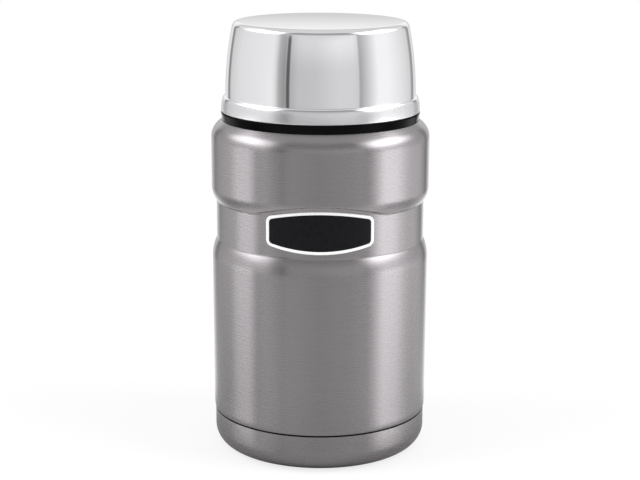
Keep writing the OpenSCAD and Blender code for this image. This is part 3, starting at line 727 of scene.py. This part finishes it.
def studio_world():
    """White where the camera looks, and plain light for paint, plastic and the floor. Metal sees
    a pale room: a tall soft panel at each side, dimmer between."""
    world = bpy.data.worlds.new("studio")
    bpy.context.scene.world = world
    w = Stage(world)
    x, y, z = w.split(w.add("ShaderNodeTexCoord").outputs["Generated"])
    azimuth = w.maths("ARCTAN2", x, w.maths("MULTIPLY", y, -1.0))
    # from 0 to 1 round the room, starting behind the jar
    turn = w.maths("ADD", w.maths("DIVIDE", azimuth, 2 * math.pi), 0.5)
    # degrees above level
    height = w.maths("MULTIPLY", w.maths("ARCSINE", z), 180 / math.pi)

    # far below, under the panels
    low = w.round_the_room(turn, [
        (-180, 1.5), (-162, 1.4), (-148, 0.7), (-125, 0.35), (-104, 0.2), (-92, 0.2), (-80, 0.25),
        (-68, 0.5), (-50, 0.75), (-30, 0.72), (0, 0.6), (30, 0.62), (50, 0.75), (60, 0.9),
        (70, 0.8), (82, 0.4), (96, 0.35), (125, 0.5), (150, 0.9), (162, 1.5), (180, 1.5)])
    # the panels' lower ends
    lower = w.round_the_room(turn, [
        (-180, 1.4), (-160, 0.9), (-146, 0.3), (-128, 0.9), (-108, 1.6), (-98, 3.4), (-80, 3.9),
        (-71, 0.7), (-52, 0.85), (-30, 0.42), (0, 0.15), (30, 0.25), (54, 0.5), (61, 2.1),
        (71, 5.5), (88, 5.0), (102, 2.6), (112, 1.8), (126, 1.4), (140, 0.5), (149, 0.1),
        (162, 1.2), (180, 1.4)])
    # level with the bowl: panels with soft outer ends, and a dark stand at the left
    level = w.round_the_room(turn, [
        (-180, 1.0), (-160, 0.9), (-151, 0.8), (-147, 0.25), (-142, 0.3), (-138, 0.65),
        (-115, 0.8), (-80, 0.85), (-61, 0.9), (-56, 0.78), (-51, 0.45), (-44, 0.32), (-42, 0.4),
        (-41, 0.12), (-38, 0.12), (-37, 0.47), (-27, 0.58), (-5, 0.61), (22, 0.72), (40, 0.71),
        (47, 0.66), (48, 0.4), (60, 0.68), (74, 1.0), (90, 1.0), (125, 0.78), (138, 0.7),
        (143, 0.35), (149, 0.33), (153, 0.75), (160, 0.9), (180, 1.0)])
    # the panels' bright upper part, which is over the bowl's height
    above = w.round_the_room(turn, [
        (-180, 0.6), (-150, 0.7), (-126, 0.9), (-110, 3.4), (-82, 4.2), (-64, 2.4), (-52, 0.7),
        (-45, 0.36), (45, 0.36), (52, 1.2), (62, 3.6), (72, 5.2), (92, 5.0), (110, 3.2),
        (126, 0.9), (150, 0.7), (180, 0.6)])

    # the ends of the room: bright behind the jar, and in front lightest a little above level
    off_front = w.maths("ABSOLUTE", w.maths("SUBTRACT", turn, 0.5))
    is_back = w.maths("MULTIPLY", w.rise(off_front, 0.42, 0.475), w.rise(height, -14.0, -8.0))
    back = w.rise(height, 4.3, 7.7, 0.64, 0.98)
    is_front = w.rise(off_front, 0.16, 0.11)
    front = w.maths("MULTIPLY", level, w.rise(height, 3.0, 15.0, 1.0, 1.25))
    front = w.blend(w.rise(height, 13.5, 18.0), front, w.rise(height, 12.0, 36.0, 0.74, 0.34))
    level = w.blend(is_front, level, front)
    level = w.blend(is_back, level, back)

    room = w.blend(w.rise(height, *GROUND_TO_LOW), GROUND, low)
    room = w.blend(w.rise(height, *LOW_TO_LOWER), room, lower)
    room = w.blend(w.rise(height, *LOWER_TO_LEVEL), room, level)
    # the upper part starts and ends lower at the sides than in front
    is_side = w.maths("SUBTRACT", 1.0, is_front)
    starts, ends = w.blend(is_side, 36.0, 17.0), w.blend(is_side, 52.0, 43.0)
    room = w.blend(w.rise(w.maths("SUBTRACT", height, starts), 0.0, 5.0), room, above)
    room = w.blend(w.rise(w.maths("SUBTRACT", height, ends), 0.0, 9.0), room, CEILING)

    brightness = w.blend(w.mirrored, PLAIN, room)
    brightness = w.blend(w.to_camera, brightness, 1.0)
    glow = w.add("ShaderNodeBackground")
    glow.inputs["Color"].default_value = (1, 1, 1, 1)
    w.join(brightness, glow.inputs["Strength"])
    w.finish("ShaderNodeOutputWorld", glow.outputs[0])
    # with sampling on, rough metal doesn't see these zones
    world.cycles.sampling_method = "NONE"


def lamp(name, azimuth, power):
    """A soft box that faces the middle of the jar. It lights paint, plastic and floor. Metal shows
    the world's panels in its place."""
    light = bpy.data.lights.new(name, "AREA")
    light.shape = "RECTANGLE"
    light.size, light.size_y = LAMP_SIZE
    light.energy = power
    a, e = math.radians(azimuth), math.radians(LAMP_UP)
    away = Vector((math.sin(a) * math.cos(e), -math.cos(a) * math.cos(e), math.sin(e)))
    thing = put(name, light)
    thing.location = JAR_MIDDLE + away * LAMP_AWAY
    thing.rotation_mode = "QUATERNION"
    thing.rotation_quaternion = away.to_track_quat("Z", "Y")
    thing.visible_glossy = False


studio_floor()
studio_world()
lamp("left_box", -75, 9)
lamp("right_box", 70, 10)


# ---------------------------------------------------------------- camera
# The place, lens and angles, in degrees, follow from the jar's outline in the photograph.

EYE_AT = (0, -0.7611, 0.2757)
LENS, SENSOR = 94.43, 36
LOOKS_DOWN, ROLLED = 13.23, 0.2

camera = bpy.data.cameras.new("camera")
camera.sensor_width = SENSOR
camera.lens = LENS
camera.clip_start, camera.clip_end = 0.01, 50
eye = put("camera", camera)
eye.location = EYE_AT
pitch = Matrix.Rotation(math.radians(90 - LOOKS_DOWN), 3, "X")
roll = Matrix.Rotation(math.radians(ROLLED), 3, "Z")
eye.rotation_euler = (pitch @ roll).to_euler()
bpy.context.scene.camera = eye
bpy.context.scene.view_settings.view_transform = "Standard"
